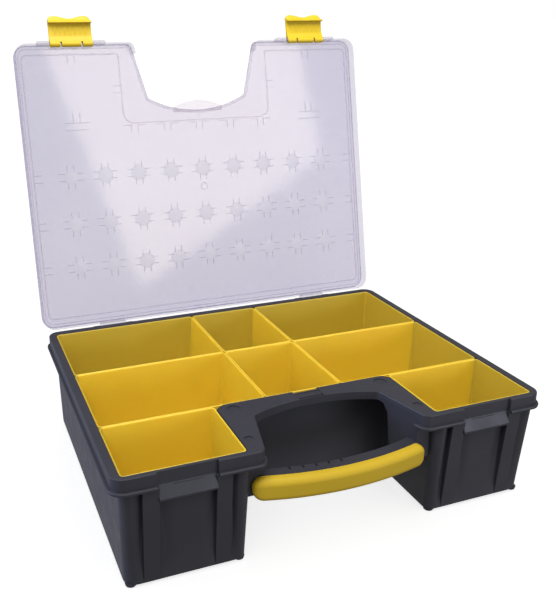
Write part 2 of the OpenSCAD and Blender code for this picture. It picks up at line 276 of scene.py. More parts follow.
def clean(mesh, sharp):
    """Welds doubled points, then shades smooth but for edges sharper than an angle in degrees."""
    weld = 2e-6
    sliver = 1e-7
    shape = bmesh.new()
    shape.from_mesh(mesh)
    bmesh.ops.remove_doubles(shape, verts=shape.verts, dist=weld)
    bmesh.ops.dissolve_degenerate(shape, edges=shape.edges, dist=sliver)
    bmesh.ops.recalc_face_normals(shape, faces=shape.faces)
    shape.to_mesh(mesh)
    shape.free()
    mesh.shade_smooth()
    mesh.set_sharp_from_angle(angle=math.radians(sharp))


def make(name, solids, sharp=35, matrix=Matrix.Identity(4)):
    """One object from any number of closed solids."""
    points = []
    faces = []
    for some_points, some_faces in solids:
        start = len(points)
        points += [matrix @ Vector(p) * MM for p in some_points]
        faces += [tuple(start + i for i in f) for f in some_faces]
    mesh = bpy.data.meshes.new(name)
    mesh.from_pydata(points, [], faces)
    mesh.update()
    clean(mesh, sharp)
    obj = bpy.data.objects.new(name, mesh)
    bpy.context.scene.collection.objects.link(obj)
    return obj


def combine(obj, operation, solids, sharp=35, matrix=Matrix.Identity(4)):
    """Cuts solids out of obj, or welds them to it."""
    tool = make("tool", solids, sharp, matrix)
    step = obj.modifiers.new("combine", "BOOLEAN")
    step.operation = operation
    step.solver = "EXACT"
    step.use_self = True
    step.object = tool
    graph = bpy.context.evaluated_depsgraph_get()
    mesh = bpy.data.meshes.new_from_object(obj.evaluated_get(graph))
    obj.modifiers.clear()
    obj.data = mesh
    bpy.data.objects.remove(tool)
    clean(mesh, sharp)


def level(obj):
    """Normals that keep wide faces flat and turn only in the rounded edges beside them."""
    step = obj.modifiers.new("level", "WEIGHTED_NORMAL")
    step.keep_sharp = True
    step.weight = 100
    graph = bpy.context.evaluated_depsgraph_get()
    mesh = bpy.data.meshes.new_from_object(obj.evaluated_get(graph))
    obj.modifiers.clear()
    obj.data = mesh


def place(obj, body, node, slot, *materials):
    """Sets obj on its body, in place of its CAD node. Its faces already say which material."""
    level(obj)
    faces = [face.material_index for face in obj.data.polygons]
    obj.data.materials.clear()
    for material in materials:
        obj.data.materials.append(material)
    obj.data.polygons.foreach_set("material_index", faces)
    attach(obj, body)
    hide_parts(node)


# ---- materials ----

class Nodes:
    """A material's node tree, built from the Principled shader outwards."""

    def __init__(self, name):
        self.material = bpy.data.materials.new(name)
        self.material.use_nodes = True
        self.tree = self.material.node_tree
        self.shader = self.tree.nodes["Principled BSDF"]
        self.place = self.add("ShaderNodeTexCoord").outputs["Object"]

    def add(self, kind, **inputs):
        node = self.tree.nodes.new(kind)
        for key, value in inputs.items():
            self.feed(node.inputs[key.replace("_", " ")], value)
        return node

    def feed(self, socket, value):
        if isinstance(value, bpy.types.NodeSocket):
            self.tree.links.new(value, socket)
        else:
            socket.default_value = value

    def noise(self, scale, detail=4.0):
        node = self.add("ShaderNodeTexNoise", Vector=self.place, Scale=scale, Detail=detail,
                        Roughness=0.55)
        return node.outputs["Fac"]

    def ramp(self, value, *stops):
        """Colours a value from 0 to 1, between stops of (place, colour)."""
        node = self.add("ShaderNodeValToRGB", Fac=value)
        for element, (at, colour) in zip(node.color_ramp.elements, stops):
            element.position = at
            element.color = (*colour, 1.0)
        return node.outputs["Color"]

    def span(self, value, low, high):
        """Spreads the middle of a noise over a range of values."""
        node = self.add("ShaderNodeMapRange", Value=value, From_Min=0.3, From_Max=0.7, To_Min=low,
                        To_Max=high)
        return node.outputs["Result"]

    def bump(self, height, strength, distance):
        node = self.add("ShaderNodeBump", Height=height, Strength=strength, Distance=distance)
        self.feed(self.shader.inputs["Normal"], node.outputs["Normal"])


def moulded(name, dark, light, rough, grain, gloss, lets_light_in=False):
    """Moulded plastic: a slow drift of colour, an uneven gloss and a fine spark-eroded grain."""
    n = Nodes(name)
    n.feed(n.shader.inputs["Base Color"], n.ramp(n.noise(scale=9.0), (0.3, dark), (0.7, light)))
    n.feed(n.shader.inputs["Roughness"], n.span(n.noise(scale=60.0), rough - 0.05, rough + 0.06))
    n.shader.inputs["Specular IOR Level"].default_value = gloss
    if lets_light_in:
        n.shader.inputs["Subsurface Weight"].default_value = 0.2
        n.shader.inputs["Subsurface Radius"].default_value = (1.0, 0.75, 0.2)
        n.shader.inputs["Subsurface Scale"].default_value = 0.006
        n.shader.inputs["Transmission Weight"].default_value = 0.5
    n.bump(n.noise(scale=1400.0, detail=2.0), strength=grain, distance=0.0002)
    return n.material


def clear_plastic(name, dark, light, alpha, rough):
    """Natural polypropylene: mostly see-through, faintly lilac, cloudy in slow drifts."""
    n = Nodes(name)
    n.feed(n.shader.inputs["Base Color"], n.ramp(n.noise(scale=5.0), (0.35, dark), (0.65, light)))
    n.feed(n.shader.inputs["Alpha"], n.span(n.noise(scale=4.0), alpha - 0.02, alpha + 0.02))
    n.feed(n.shader.inputs["Roughness"], n.span(n.noise(scale=40.0), rough - 0.02, rough + 0.02))
    n.shader.inputs["Specular IOR Level"].default_value = 1.0
    n.bump(n.noise(scale=12.0, detail=2.0), strength=0.35, distance=0.0004)
    return n.material


def drawn_steel(name):
    """Bare steel: a fine drift of grey and of gloss."""
    n = Nodes(name)
    dark = (0.42, 0.42, 0.44)
    light = (0.58, 0.58, 0.60)
    n.feed(n.shader.inputs["Base Color"], n.ramp(n.noise(scale=300.0), (0.35, dark), (0.65, light)))
    n.shader.inputs["Metallic"].default_value = 1.0
    n.feed(n.shader.inputs["Roughness"], n.span(n.noise(scale=500.0), 0.22, 0.38))
    n.bump(n.noise(scale=900.0, detail=2.0), strength=0.1, distance=0.0001)
    return n.material


TRAY_PLASTIC = moulded("tray_plastic", (0.015, 0.0148, 0.019), (0.020, 0.0197, 0.024), rough=0.44,
                       grain=0.25, gloss=0.26)
CUP_PLASTIC = moulded("cup_plastic", (0.99, 0.70, 0.040), (1.0, 0.74, 0.050), rough=0.40,
                      grain=0.06, gloss=0.45, lets_light_in=True)
# Darker copy of the cup plastic: painted shade on the cup walls that have the dark tray right behind them.
CUP_PAINTED_SHADE = moulded("cup_painted_shade", (0.73, 0.52, 0.042), (0.75, 0.55, 0.052), rough=0.40,
                     grain=0.06, gloss=0.45, lets_light_in=True)
GRIP_PLASTIC = moulded("grip_plastic", (0.325, 0.218, 0.012), (0.355, 0.240, 0.016), rough=0.55,
                       grain=0.15, gloss=0.10)
LATCH_PLASTIC = moulded("latch_plastic", (0.485, 0.335, 0.008), (0.54, 0.378, 0.012), rough=0.46,
                        grain=0.10, gloss=0.28)
LID_PLASTIC = clear_plastic("lid_plastic", (0.405, 0.365, 0.69), (0.435, 0.39, 0.73), alpha=0.38,
                            rough=0.08)
LID_FROSTED = clear_plastic("lid_frosted", (0.35, 0.31, 0.60), (0.38, 0.335, 0.64), alpha=0.38,
                            rough=0.36)
LID_THIN = clear_plastic("lid_thin", (0.58, 0.51, 0.72), (0.64, 0.57, 0.78), alpha=0.17,
                         rough=0.15)
LID_EDGE_WALL = clear_plastic("lid_edge_wall", (0.50, 0.44, 0.70), (0.54, 0.48, 0.74), alpha=0.27,
                              rough=0.15)
PIN_STEEL = drawn_steel("pin_steel")


# ---- tray ----

def lean(z):
    """How far a tray wall has come in at height z. The walls are widest at the rim."""
    return DRAFT * (RIM_Z - z) / (RIM_Z - FOOT_H)


def relief(x):
    """Depth of a block's front behind its pillars, at a distance x from the case's middle."""
    x = abs(x)
    groove = 5.0
    panel = 2.8
    inner_fade = 8
    outer_fade = 16
    panel_fades = (12, 14)
    (a, b), (c, d) = PILLARS
    if a <= x <= b or c <= x <= d:
        return 0.0
    if x < a:
        return groove * smooth(a - inner_fade, a - 0.6, x)
    if x > d:
        return groove * (1 - smooth(d - 3, d + outer_fade, x))
    rise = smooth(b + PILLAR_STEP, b + panel_fades[0], x)
    fall = smooth(c - panel_fades[1], c - PILLAR_STEP, x)
    return groove - (groove - panel) * (rise * (1 - fall))


def shell_ring(z, inset=0.0):
    """The tray's wall in plan at height z: rear part, two blocks and the recess between them."""
    side = FIELD_X + SHELL_OUT - lean(z) - inset
    block = BLOCK_X - SHELL_OUT + lean(z) + inset
    recess = ROW_Y - SHELL_OUT + lean(z) - inset
    back = FIELD_Y + 6.3 - lean(z) - inset
    foot_out = 1.3
    front_lean = 4.9
    flush = -FIELD_Y - foot_out - front_lean * (min(z, SHELL_TOP) - FOOT_H) / (SHELL_TOP - FOOT_H)
    low = z <= SHELL_TOP
    front = (flush if low else -FIELD_Y - SHELL_OUT) + inset
    is_inside = inset >= SHELL_T
    outer, inner = (5.5, 5.5) if is_inside else (11, 8)
    steps = 8
    ring = fillet([(-side, front, outer), (-block, front, inner), (-block, recess, 3), (block, recess, 3),
                   (block, front, inner), (side, front, outer), (side, back, outer),
                   (-side, back, outer)], steps)
    per_corner = steps + 1
    left_end = per_corner
    right_end = 5 * per_corner
    face = [(x, front) for x in front_stations()]
    left_face = [(-x, y) for x, y in reversed(face)]
    ring = ring[:left_end] + left_face + ring[left_end:right_end] + face + ring[right_end:]
    cut = 1 - (1 - (z - FOOT_H) / (SHELL_TOP - FOOT_H)) ** 4 if low and not is_inside else 0.0
    out = []
    for x, y in ring:
        near_front = 1 - smooth(front + 5, front + 12, y)
        shift = relief(x) * cut * near_front if abs(x) > block - 1 else 0.0
        out.append((x, y + shift, z))
    return out


def front_stations():
    """Places across the right block's front: close together at its steps, even elsewhere."""
    (a, b), (c, d) = PILLARS
    first = BLOCK_X + 9.5
    pitch = 0.9
    step = PILLAR_STEP
    parts = 24
    stations = [first + pitch * k for k in range(7)]
    stations += [a - step, a, (a + b) / 2, b, b + step]
    stations += [b + step + (c - b - 2 * step) * k / parts for k in range(1, parts)]
    stations += [c - step, c, (c + d) / 2, d, d + step, d + 2, d + 3.6]
    return stations


def tray_wall():
    """The tray's walls and bottom, as one skin over the outside, the rim and the inside."""
    floor = FOOT_H + 2.5
    top = RIM_Z - 0.5
    chamfer = 0.6
    heights = [FOOT_H + chamfer] + [FOOT_H + 3 * k for k in range(1, 9)] + [36, 48, 66]
    heights += [FLANGE_Z, SHELL_TOP, SHELL_TOP + 0.02, top]
    outside = [shell_ring(z) for z in heights]
    sole = [[(x, y, FOOT_H) for x, y, z in shell_ring(FOOT_H, 0.7)]]
    inside = [shell_ring(z, SHELL_T) for z in (top, floor)]
    return loft(sole + outside + inside)


def rim_path(steps=6):
    """The rim's outline: front edge with its latch pockets, and the hand opening's edge."""
    sagitta = NOTCH_APEX - NOTCH_CORNER.y
    radius = (NOTCH_CORNER.x ** 2 + sagitta ** 2) / (2 * sagitta)
    half = math.asin(NOTCH_CORNER.x / radius)
    curve = arc((0, NOTCH_APEX - radius), radius, math.pi / 2 + half, math.pi / 2 - half, 28)
    right = [(NOTCH_SIDE, BAND_FRONT, ARM_R), (POCKET[0], BAND_FRONT, 0), (POCKET[0], POCKET_Y, 0),
             (POCKET[1], POCKET_Y, 0), (POCKET[1], BAND_FRONT, 0), (BAND_X, BAND_FRONT, CORNER_R),
             (BAND_X, BAND_BACK, CORNER_R)]
    left = [(-x, y, r) for x, y, r in reversed(right)]
    opening = [(x, y, 0) for x, y in curve[1:-1]]
    corner = [(NOTCH_CORNER.x, NOTCH_CORNER.y, 5)]
    return fillet(left + [(-x, y, r) for x, y, r in corner] + opening + corner + right, steps)


def rim_section(point):
    """Upright band with a rounded top edge, shallower along the hand opening."""
    opening_x = 79
    opening_y = BAND_FRONT + 9
    at_opening = abs(point[0]) < opening_x and point[1] > opening_y
    low = RIM_Z - (LIP_H if at_opening else BAND_H)
    thick = 2.3
    return [(0, low + 0.4), (-0.1, RIM_Z - 1.0), (-0.4, RIM_Z - 0.3), (-1.1, RIM_Z), (-thick, RIM_Z),
            (-thick, low), (-0.4, low)]


def flange_section(point):
    """Ledge with a rounded outer edge, the same all the way along."""
    z = FLANGE_Z
    out = FLANGE_OUT
    return [(-1, z), (out - 0.8, z), (out - 0.2, z + 0.3), (out, z + 1), (out, z + 2.1),
            (out - 0.3, z + 2.7), (out - 0.9, z + 3), (-1, z + 3)]


def flanges():
    """The ledge from one outer latch pocket round the back to the other, and beside each arm."""
    arm_end = BAND_FRONT + 11
    inner = fillet([(NOTCH_SIDE - (arm_end - BAND_FRONT) * NOTCH_SLOPE, arm_end, 0),
                    (NOTCH_SIDE, BAND_FRONT, ARM_R), (POCKET[0], BAND_FRONT, 0)])
    outer = fillet([(POCKET[1], BAND_FRONT, 0), (BAND_X, BAND_FRONT, CORNER_R),
                    (BAND_X, BAND_BACK, CORNER_R), (-BAND_X, BAND_BACK, CORNER_R),
                    (-BAND_X, BAND_FRONT, CORNER_R), (-POCKET[1], BAND_FRONT, 0)])
    return both_sides(sweep(inner, flange_section, closed=False)) + [
        sweep(outer, flange_section, closed=False)]


def cup_field():
    """Outline of the area that the cups fill."""
    arm = BLOCK_X - 1.2
    corner = 4
    right = [(arm, ROW_Y, 10), (arm, -FIELD_Y, corner), (FIELD_X, -FIELD_Y, corner),
             (FIELD_X, FIELD_Y, corner)]
    left = [(-x, y, r) for x, y, r in reversed(right)]
    return fillet(left[1:] + right + left[:1])


def box_solid(low, high):
    corners = [(low[0], low[1]), (high[0], low[1]), (high[0], high[1]), (low[0], high[1])]
    return loft([[(x, y, z) for x, y in corners] for z in (low[2], high[2])])


def disc_solid(centre, radius, z0, z1):
    ring = circle(centre, radius, 48)
    return loft([[(x, y, z) for x, y in ring] for z in (z0, z1)])


def plate_marks():
    """Channel across the plate's middle and the shallow round marks beside it."""
    half = 13
    over = RIM_Z + 1
    channel = RIM_Z - 0.9
    notch = RIM_Z - 6
    mark = RIM_Z - 0.8
    marks = [box_solid((-half, ROW_Y - 40, channel), (half, ROW_Y + 3, over)),
             box_solid((-half, ROW_Y - 3, notch), (half, ROW_Y + 3, over))]
    for x, y, radius in ((77, -79, 6.5), (84, -131, 4.4)):
        marks += both_sides(disc_solid((x, y), radius, mark, over))
    return marks


def catch_bar():
    """The ledge between a block's pillars that a latch's lip catches under."""
    back = -FIELD_Y - 1
    front = -FIELD_Y - 7.2
    low = CATCH_Z
    high = CATCH_Z + 14
    outline = fillet([(back, low, 0), (front + 0.6, low, 0.3), (front, low + 0.8, 0.4),
                      (front, low + 2.2, 0.6), (back - 1.5, high, 1.5), (back, high, 0)], 3)
    bite = 0.5
    wide = PILLARS[1][0] - PILLARS[0][1] + 2 * bite
    return across(slab([outline], 0, wide, 0.1, 0), PILLARS[0][1] - bite)


def feet():
    """A foot under the middle and one near each corner of the blocks and the rear wall."""
    profile = [(0, FOOT_H + 0.6), (5.2, FOOT_H + 0.6), (4.6, 0.7), (4.0, 0.2), (3.2, 0), (0, 0)]
    out = [lathe(profile, (0, 0))]
    for x, y in ((194.2, -FIELD_Y + 4.3), (97.8, -FIELD_Y + 4.3), (192, FIELD_Y - 4)):
        out += both_sides(lathe(profile, (x, y)))
    return out


def handle_bow():
    """The curved bar between the blocks. Its front lies just behind the grip."""
    outer = GRIP_R - GRIP_DEPTH - 0.1
    half = BLOCK_X - 0.9
    a = math.asin(half / outer)
    b = math.asin(half / BOW_INNER_R)
    ahead = -math.pi / 2
    front = arc((0, grip_low.y + GRIP_R), outer, ahead - a, ahead + a, 40)
    back = arc((0, BOW_INNER_Y + BOW_INNER_R), BOW_INNER_R, ahead + b, ahead - b, 40)
    return slab([front + back], BOW_LOW, BOW_HIGH, 0.7)


def bow_notches():
    """A row of short slots across the bar's rear top edge, left of its middle."""
    first = -51
    pitch = 12
    half = 1.1
    low = BOW_HIGH - 1.6
    out = []
    for k in range(5):
        x = first + pitch * k
        y = BOW_INNER_Y + BOW_INNER_R - math.sqrt(BOW_INNER_R ** 2 - x ** 2)
        out.append(box_solid((x - half, y - 4.5, low), (x + half, y + 2, BOW_HIGH + 1.5)))
    return out


def cheeks():
    """Webs that drop from the plate's side edges to the ends of the bow, out to the blocks' sides."""
    top = RIM_Z - 3
    front = -145
    outline = fillet([(front, BOW_LOW, 0.6), (-113.5, BOW_LOW, 2), (-109, 92, 8),
                      (-103, RIM_Z - LIP_H, 5), (-98, top, 0), (front, top, 0)], 6)
    wide = BLOCK_X - 1.4 - NOTCH_CORNER.x - (NOTCH_CORNER.y - front) * NOTCH_SLOPE
    wall = across(slab([outline], 0, wide, 0.3))
    points = []
    for x, y, z in wall[0]:
        edge = NOTCH_CORNER.x + (NOTCH_CORNER.y - y) * NOTCH_SLOPE
        points.append((edge + x, y, z))
    return both_sides((points, wall[1]))


def hinge_lugs():
    """A lug each side of both lid knuckles, bored for the pin."""
    wide = 8
    apart = 19.5
    y = HINGE.y
    z = HINGE.z
    foot = 82
    edge = LUG_R - 0.1
    outline = fillet([(BAND_BACK - 3, foot, 0), (BAND_BACK + 2, foot, 1), (y + LUG_R, z - 5, 2.5),
                      (y + LUG_R, z + LUG_R, edge), (y - LUG_R, z + LUG_R, edge),
                      (y - LUG_R, FLANGE_Z + 3, 1), (BAND_BACK - 3, FLANGE_Z + 3, 0)], 6)
    hole = circle((y, z), PIN_HOLE_R, 32)
    out = []
    for side in (-1, 1):
        start = HINGE_X + side * apart - wide / 2
        out += both_sides(across(slab([outline, hole], 0, wide, 0.3), start))
    return out


def make_tray():
    """Everything that is moulded in one with the tray."""
    rim = make("rim", [sweep(rim_path(), rim_section)])
    plate = make("plate", [slab([grow(rim_path(), -1.2), cup_field()], RIM_Z - 2.6, RIM_Z - 0.02, 0.25, 1)])
    bow = make("bow", [handle_bow()])
    combine(rim, "DIFFERENCE", plate_marks())
    combine(plate, "DIFFERENCE", plate_marks())
    combine(bow, "DIFFERENCE", bow_notches())
    solids = [tray_wall(), catch_bar(), mirrored(catch_bar())]
    solids += flanges() + feet() + cheeks() + hinge_lugs()
    tray = make("tray", solids)
    return join(tray, [rim, plate, bow])


def join(obj, others):
    """Adds the meshes of others to obj."""
    shape = bmesh.new()
    for one in [obj] + others:
        shape.from_mesh(one.data)
    shape.to_mesh(obj.data)
    shape.free()
    for one in others:
        bpy.data.objects.remove(one)
    return obj


place(make_tray(), "case", "base_tray", "tray_plastic", TRAY_PLASTIC)


# ---- cups ----

def cup_rings(low, high):
    """Rings from the outside of a cup's bottom, over its edge and down to its floor."""
    draft = 3.2
    wall = 1.2
    corner = 3.6
    outer_fold = 2.5
    inner_fold = 4
    middle = low.z + (high.z - low.z) * 0.5
    floor = low.z + wall
    rings = []

    def ring(inset, z, radius):
        flat = rounded_box((low.x + inset, low.y + inset), (high.x - inset, high.y - inset), radius, 8)
        rings.append([(x, y, z) for x, y in flat])

    def slope(z):
        return draft * (high.z - z) / (high.z - low.z)

    ring(slope(low.z) + 12, low.z, 4.0)
    for turn in (90, 60, 30, 0):
        t = math.radians(turn)
        z = low.z + outer_fold * (1 - math.sin(t))
        inset = slope(z) + outer_fold * (1 - math.cos(t))
        ring(inset, z, corner + 0.5 - 2.0 * (1 - math.cos(t)))
    for z in (middle, high.z - 1.0):
        ring(slope(z), z, corner)
    for turn in (0, 45, 90, 135, 180):
        t = math.radians(turn)
        inset = wall / 2 * (1 - math.cos(t))
        ring(inset, high.z - wall / 2 + wall / 2 * math.sin(t), corner - inset)
    for z in (high.z - 1.5, middle):
        ring(slope(z) + wall, z, corner - wall)
    for turn in (0, 22, 45, 68, 90):
        t = math.radians(turn)
        z = floor + inner_fold * (1 - math.sin(t))
        ring(slope(z) + wall + inner_fold * (1 - math.cos(t)), z, corner - wall + 0.5)
    ring(slope(floor) + 16, floor, 4.0)
    return rings


# Cup faces within this distance of the field's rear or side edge take the darker copy: painted shade on the
# walls that back onto the tray.
PAINTED_SHADE_BAND = 6.5

for name in CUPS:
    low, high = cup_boxes[name]
    cup = make(name.replace("cup_", "tub_"), [loft(cup_rings(low, high))], 50)
    for face in cup.data.polygons:
        x = abs(face.center.x) / MM
        y = face.center.y / MM
        # Index 1, the painted shade, goes on faces near the field's outer edge.
        face.material_index = int(x > FIELD_X - PAINTED_SHADE_BAND or y > FIELD_Y - PAINTED_SHADE_BAND)
    place(cup, name, name, "cup_plastic", CUP_PLASTIC, CUP_PAINTED_SHADE)


# ---- grip ----

def grip_solid():
    """Rounded bar bent round the bow, with domed ends. It sits a little left of the middle."""
    centre = grip_low.y + GRIP_R
    mid = (grip_low.z + grip_high.z) / 2
    tall = (grip_high.z - grip_low.z) / 2
    half = math.asin((grip_high.x - 1.25) / GRIP_R)
    shift = -3.25 / GRIP_R
    closing = 10.5
    steps = 72
    rings = []
    for k in range(steps + 1):
        t = -math.cos(math.pi * k / steps)
        turn = t * half + shift
        from_end = (1 - abs(t)) * half * GRIP_R
        dome = math.sqrt(max(closing ** 2 - max(closing - from_end, 0) ** 2, 0)) / closing
        high = tall - 9.99 * (1 - dome)
        deep = GRIP_DEPTH * (1 - 0.75 * (1 - dome))
        corner = min(6.0 * (0.4 + 0.6 * dome), high - 0.05, deep - 0.9)
        back_corner = 0.8 * dome + 0.02
        flat = fillet([(0, -high, back_corner), (deep, -high, corner), (deep, high, corner),
                       (0, high, back_corner)], 7)
        ring = []
        for out, z in flat:
            r = GRIP_R - GRIP_DEPTH + out
            ring.append((r * math.sin(turn), centre - r * math.cos(turn), mid + z))
        rings.append(ring)
    return loft(rings)


place(make("grip", [grip_solid()], 60), "case", "handle_grip", "grip_plastic", GRIP_PLASTIC)


# ---- hinge pins ----

def pin_solid(low, high):
    """Round rod along X with chamfered ends."""
    radius = (high.z - low.z) / 2
    length = high.x - low.x
    chamfer = 0.3
    profile = [(0, 0), (radius - chamfer, 0), (radius, chamfer), (radius, length - chamfer),
               (radius - chamfer, length), (0, length)]
    points, faces = lathe(profile, (0, 0))
    return [(z + low.x, x + HINGE.y, y + HINGE.z) for x, y, z in points], faces


for node in ("hinge_pin_left", "hinge_pin_right"):
    rod = make(node.replace("hinge_pin", "rod"), [pin_solid(*span(node))], 40)
    place(rod, "case", node, "pin_steel", PIN_STEEL)


# ---- lid ----

TO_HINGE = Matrix.Translation(HINGE)
OPEN_LID = TO_HINGE @ Matrix.Rotation(-LID_SWING, 4, "X") @ TO_HINGE.inverted()


def lid_notch_arc():
    """The bottom of the lid's hand opening, from left to right."""
    radius = 125
    centre = (0, -205)
    half = math.asin(LID_NOTCH_X / radius)
    return arc(centre, radius, math.pi / 2 + half, math.pi / 2 - half, 32)


def lid_path():
    """The lid panel's outline with the hand opening in its front edge."""
    right = [(LID_ARM_X, LID_FRONT, LID_ARM_R), (LID_X, LID_FRONT, LID_CORNER_R),
             (LID_X, LID_BACK, LID_CORNER_R)]
    left = [(-x, y, r) for x, y, r in reversed(right)]
    bottom = [(x, y, 0) for x, y in lid_notch_arc()[2:-2]]
    corner = 6
    opening = [(-LID_NOTCH_X, LID_NOTCH_Y, corner)] + bottom + [(LID_NOTCH_X, LID_NOTCH_Y, corner)]
    return fillet(left + opening + right, 8)


def rib(path, low, wide=1.0, closed=False):
    """Thin rib under the panel along a path, rounded at its lower edge."""
    top = PANEL_Z + 0.01
    half = wide / 2
    round_off = 0.3
    profile = [(-half, top), (-half, low + round_off), (-half / 2, low), (half / 2, low),
               (half, low + round_off), (half, top)]
    return sweep(path, lambda point: profile, closed)


def skirt_section(point):
    """Upright wall that hangs from the panel, with a rounded lower edge."""
    thick = 1.8
    return [(0, PANEL_Z + 0.3), (0, LID_EDGE + 0.6), (-0.3, LID_EDGE), (-1.3, LID_EDGE),
            (-thick, LID_EDGE + 0.6), (-thick, PANEL_Z + 0.01)]


def skirts():
    """Side walls of the lid, open at the latches and at the hand opening."""
    inner = LATCH_X - LATCH_HALF
    outer = LATCH_X + LATCH_HALF
    rear = fillet([(outer, LID_FRONT, 0), (LID_X, LID_FRONT, LID_CORNER_R),
                   (LID_X, LID_BACK, LID_CORNER_R), (-LID_X, LID_BACK, LID_CORNER_R),
                   (-LID_X, LID_FRONT, LID_CORNER_R), (-outer, LID_FRONT, 0)], 10)
    reach = 12
    arm = fillet([(LID_ARM_X - reach * NOTCH_SLOPE, LID_FRONT + reach, 0),
                  (LID_ARM_X, LID_FRONT, LID_ARM_R), (inner, LID_FRONT, 0)], 8)
    arms = both_sides(sweep(arm, skirt_section, closed=False))
    return [sweep(rear, skirt_section, closed=False)] + arms


def frame_ribs():
    """Ribs round the cup field, along the lid's edge, round the hand opening and at its middle."""
    x = FIELD_X + 2
    y = FIELD_Y + 2
    front = -FIELD_Y + 1
    field = fillet([(-x, front, 6), (-BLOCK_X, front, 3), (-BLOCK_X, ROW_Y, 12), (BLOCK_X, ROW_Y, 12),
                    (BLOCK_X, front, 3), (x, front, 6), (x, y, 6), (-x, y, 6)], 8)
    inset = 4.6
    border = LID_X - inset
    start = 84
    corner = 9
    edge = fillet([(start, LID_FRONT + inset, 0), (border, LID_FRONT + inset, corner),
                   (border, LID_BACK - inset, corner), (-border, LID_BACK - inset, corner),
                   (-border, LID_FRONT + inset, corner), (-start, LID_FRONT + inset, 0)], 8)
    opening = [p for p in grow(lid_path(), -2.0) if abs(p[0]) < 82 and p[1] < -60]
    middle = [(0, ROW_Y - 1), (0, -79)]
    return [rib(field, RIB_Z, 1.6, closed=True), rib(edge, RIB_Z, 0.9), rib(opening, RIB_Z, 3.4),
            rib(middle, RIB_Z + 0.4, 0.7)]


def short_ribs():
    """Doubled ribs where a cup wall meets the field's edge, the row line or a block."""
    row = ROW_Y + 1
    front = -FIELD_Y + 2
    out = []
    for column in range(-2, 3):
        for side in (-1, 1):
            foot = STAR_PITCH * column + side * RIB_PAIR
            out.append(rib([(foot, row + 10), (foot, row + 1.5)], RIB_Z))
            out.append(rib([(foot, row + 1.5), (foot + side * 10, row + 1.5)], RIB_Z))
    for side in (-1, 1):
        middle = side * 147
        block = side * BLOCK_X
        edge = side * (FIELD_X + 1.5)
        for shift in (-RIB_PAIR, RIB_PAIR):
            out.append(rib([(middle - 14, row + shift), (middle + 14, row + shift)], RIB_Z))
            out.append(rib([(middle + shift, row - 4), (middle + shift, row - 16)], RIB_Z))
            out.append(rib([(middle + shift, front), (middle + shift, front + 9)], RIB_Z))
            out.append(rib([(block, -107 + shift), (block + side * 11, -107 + shift)], RIB_Z))
            for y in STAR_ROWS:
                out.append(rib([(edge, y + shift), (edge - side * 9, y + shift)], RIB_Z))
    return out


def star(x, y):
    """Low dome over the place where cups meet."""
    top = PANEL_Z + 0.01
    depth = 0.9
    turns = [math.pi / 2 * k / 6 for k in range(7)]
    profile = [(STAR_R * math.sin(t), top - depth * math.cos(t)) for t in turns]
    return lathe(profile + [(0, top)], (x, y), 16)


def star_ribs(x, y):
    """Doubled ribs that run out from a dome each way."""
    out = []
    for shift in (-RIB_PAIR, RIB_PAIR):
        for side in (-1, 1):
            near = 6.5 * side
            far = 14 * side
            out.append(rib([(x + near, y + shift), (x + far, y + shift)], RIB_Z))
            out.append(rib([(x + shift, y + near), (x + shift, y + far)], RIB_Z))
    return out


def finger_tab():
    """Thin rounded tab that runs from the panel into the hand opening."""
    radius = 71
    apex = -91
    half = 31
    root = -78
    turn = math.asin(half / radius)
    curve = arc((0, apex + radius), radius, -math.pi / 2 - turn, -math.pi / 2 + turn, 24)
    return slab([curve + [(half, root), (-half, root)]], LID_TOP - 1.5, LID_TOP - 0.02, 0.3)


def gate_mark():
    """Small raised ring under the panel."""
    centre = (0, 11.5)
    return slab([circle(centre, 4.6, 32), circle(centre, 3.4, 32)], PANEL_Z - 0.7, PANEL_Z + 0.05, 0.2)


def latch_carrier(side):
    """Two ears on the front edge and the round bar between them."""
    ear = 13.5
    reach = 4
    top = LID_TOP - 0.3
    outline = fillet([(LID_FRONT + 1, PIVOT_Z - reach, 0), (LID_FRONT + 1, top, 0),
                      (PIVOT_Y - reach, top, 2.5), (PIVOT_Y - reach, PIVOT_Z - reach, 3.9)], 6)
    out = []
    for x in (LATCH_X - LATCH_HALF - ear, LATCH_X + LATCH_HALF):
        out.append(across(slab([outline], 0, ear, 0.8), x if side > 0 else -x - ear))
    bar = circle((PIVOT_Y, PIVOT_Z), 1.6, 24)
    out.append(across(slab([bar], 0, 2 * LATCH_HALF, 0.1), side * LATCH_X - LATCH_HALF))
    return out


def lid_knuckles():
    """Barrels on the rear edge that turn on the pins."""
    y = HINGE.y
    z = HINGE.z
    edge = LUG_R - 0.1
    outline = fillet([(LID_BACK - 1, LID_EDGE + 0.4, 0), (y, LID_EDGE + 0.2, 0),
                      (y + LUG_R, z - LUG_R, edge), (y + LUG_R, z + LUG_R, edge),
                      (y - 2, z + LUG_R, 1), (LID_BACK - 1, LID_EDGE + 9, 0)], 6)
    hole = circle((y, z), 1.56, 32)
    wide = 30
    return both_sides(across(slab([outline, hole], 0, wide, 0.3), HINGE_X - wide / 2))


